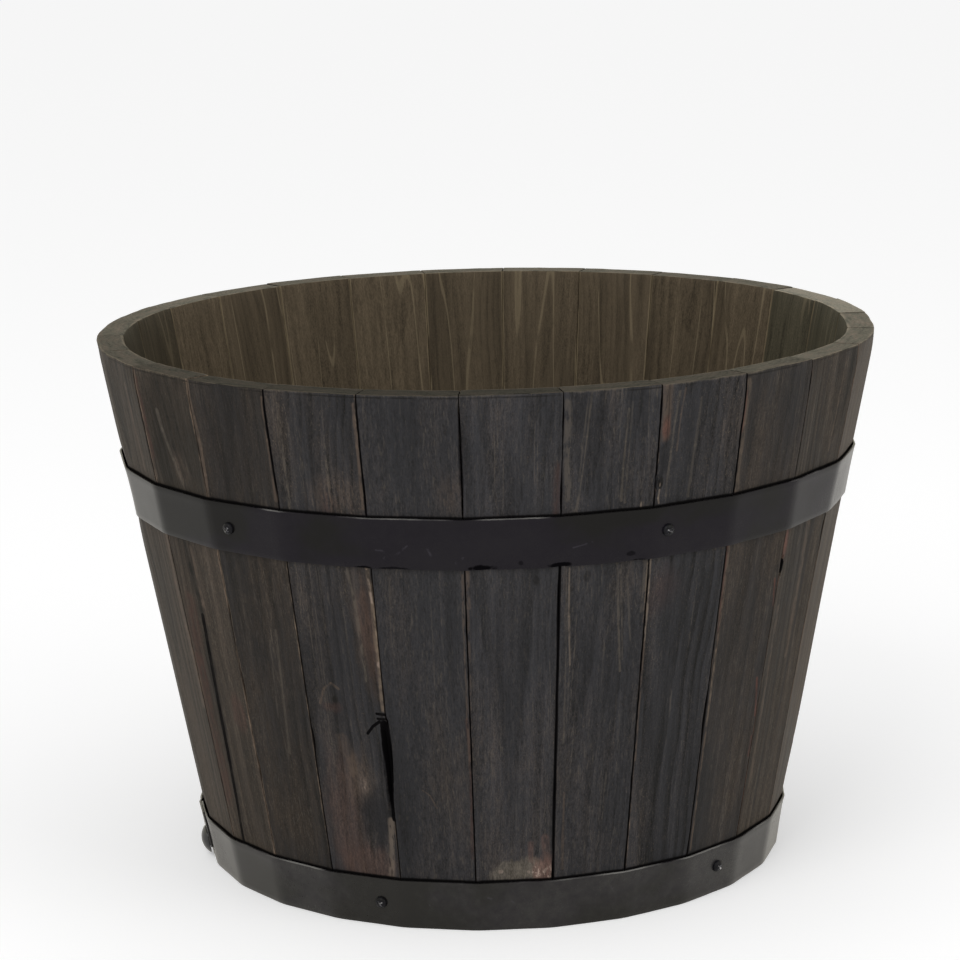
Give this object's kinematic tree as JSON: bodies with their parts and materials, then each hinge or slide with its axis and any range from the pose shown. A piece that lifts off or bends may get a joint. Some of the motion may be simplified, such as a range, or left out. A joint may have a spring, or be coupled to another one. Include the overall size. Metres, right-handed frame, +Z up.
{
  "type": "barrel planter",
  "caption": "Tapered open tub of mitred flat wooden staves round a boarded base with drain holes, bound by black strip-steel hoops, for growing plants in soil.",
  "frame": {"origin": "on the ground, under the middle of the tub", "axes": "+Z up the tub, -Y towards the front of the picture, +X to its right"},
  "size_m": [0.6086, 0.6084, 0.419],
  "materials": {
    "stained_staves": "dark brown-black stain, worn matt, open grain",
    "base_boards": "brown stained board, matt",
    "battens": "brown stained batten, matt",
    "black_strip_steel": "satin black paint on strip steel",
    "black_screws": "black coated pan-head screws",
    "black_bolts": "black painted dome heads",
    "zinc_screws": "dull zinc plate",
    "zinc_nuts": "dull zinc plate"
  },
  "bodies": {
    "root": {"stave_01": "stained_staves", "stave_02": "stained_staves", "stave_03": "stained_staves", "stave_04": "stained_staves", "stave_05": "stained_staves", "stave_06": "stained_staves", "stave_07": "stained_staves", "stave_08": "stained_staves", "stave_09": "stained_staves", "stave_10": "stained_staves", "stave_11": "stained_staves", "stave_12": "stained_staves", "stave_13": "stained_staves", "stave_14": "stained_staves", "stave_15": "stained_staves", "stave_16": "stained_staves", "stave_17": "stained_staves", "stave_18": "stained_staves", "stave_19": "stained_staves", "stave_20": "stained_staves", "stave_21": "stained_staves", "stave_22": "stained_staves", "stave_23": "stained_staves", "stave_24": "stained_staves", "stave_25": "stained_staves", "stave_26": "stained_staves", "base_board_1": "base_boards", "base_board_2": "base_boards", "base_board_3": "base_boards", "base_board_4": "base_boards", "base_board_5": "base_boards", "base_batten_left": "battens", "base_batten_right": "battens", "batten_screws": "zinc_screws", "upper_hoop": "black_strip_steel", "lower_hoop": "black_strip_steel", "upper_hoop_screws": "black_screws", "lower_hoop_screws": "black_screws", "upper_lap_bolt": "black_bolts", "upper_lap_washer": "zinc_nuts", "upper_lap_nut": "zinc_nuts", "lower_lap_bolt": "black_bolts", "lower_lap_washer": "zinc_nuts", "lower_lap_nut": "zinc_nuts"}
  },
  "joints": []
}
